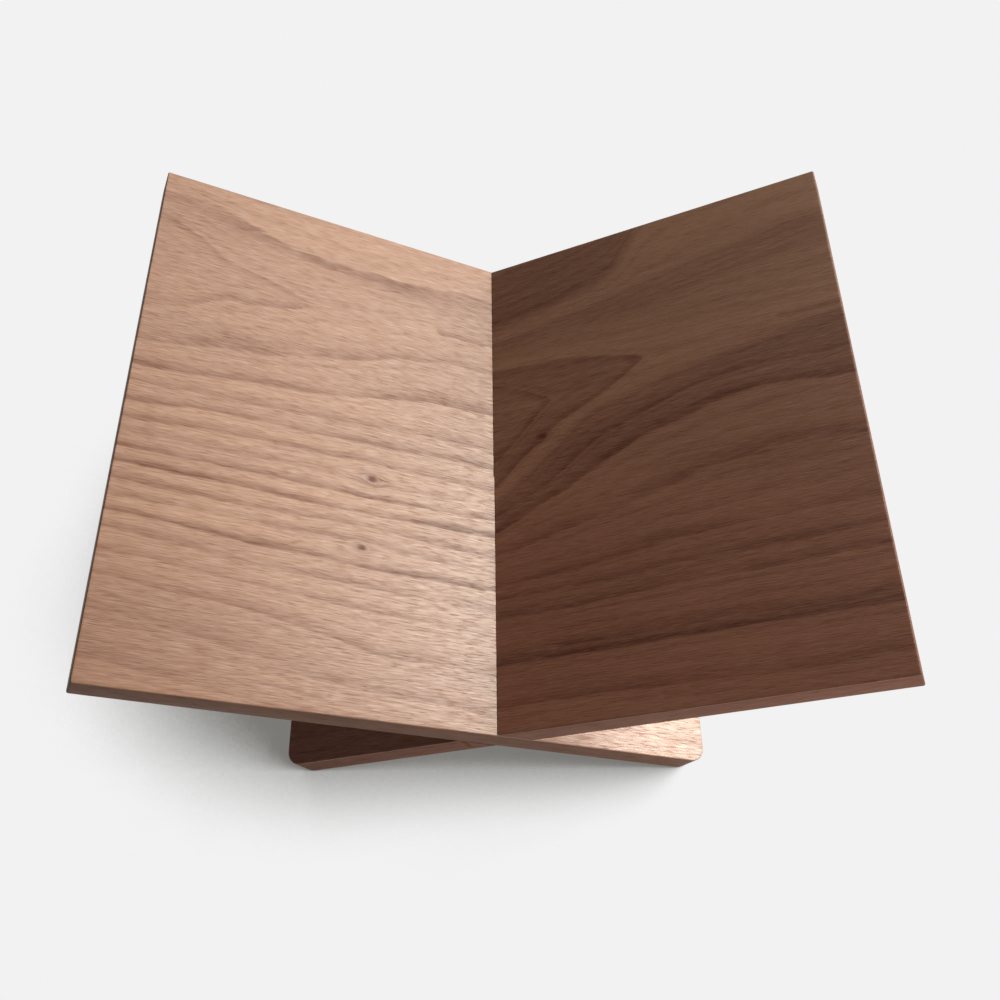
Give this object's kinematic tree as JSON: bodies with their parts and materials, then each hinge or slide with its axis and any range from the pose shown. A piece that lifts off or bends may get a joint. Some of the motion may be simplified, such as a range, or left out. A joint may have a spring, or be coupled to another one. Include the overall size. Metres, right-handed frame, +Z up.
{
  "type": "book stand",
  "caption": "Crossed walnut book stand: flat boards interlock in bevelled halving slots, cradle an open book in a shallow V, and slide apart to store flat.",
  "frame": {"origin": "on the table, under the middle of the crossing, half way along the depth", "axes": "+X to the right page, +Y to the back along the slots, +Z up"},
  "size_m": [0.2894, 0.23, 0.1152],
  "materials": {
    "oiled_walnut": "sanded and oiled, satin, open pores, grain along each board's slope"
  },
  "bodies": {
    "left_board": {"left_page_board": "oiled_walnut"},
    "right_board": {"right_page_board": "oiled_walnut"}
  },
  "joints": [
    {"name": "slot_slide", "type": "slide", "parent": "left_board", "child": "right_board", "axis": [0, 1, 0], "range_m": [0, 0.24]}
  ]
}
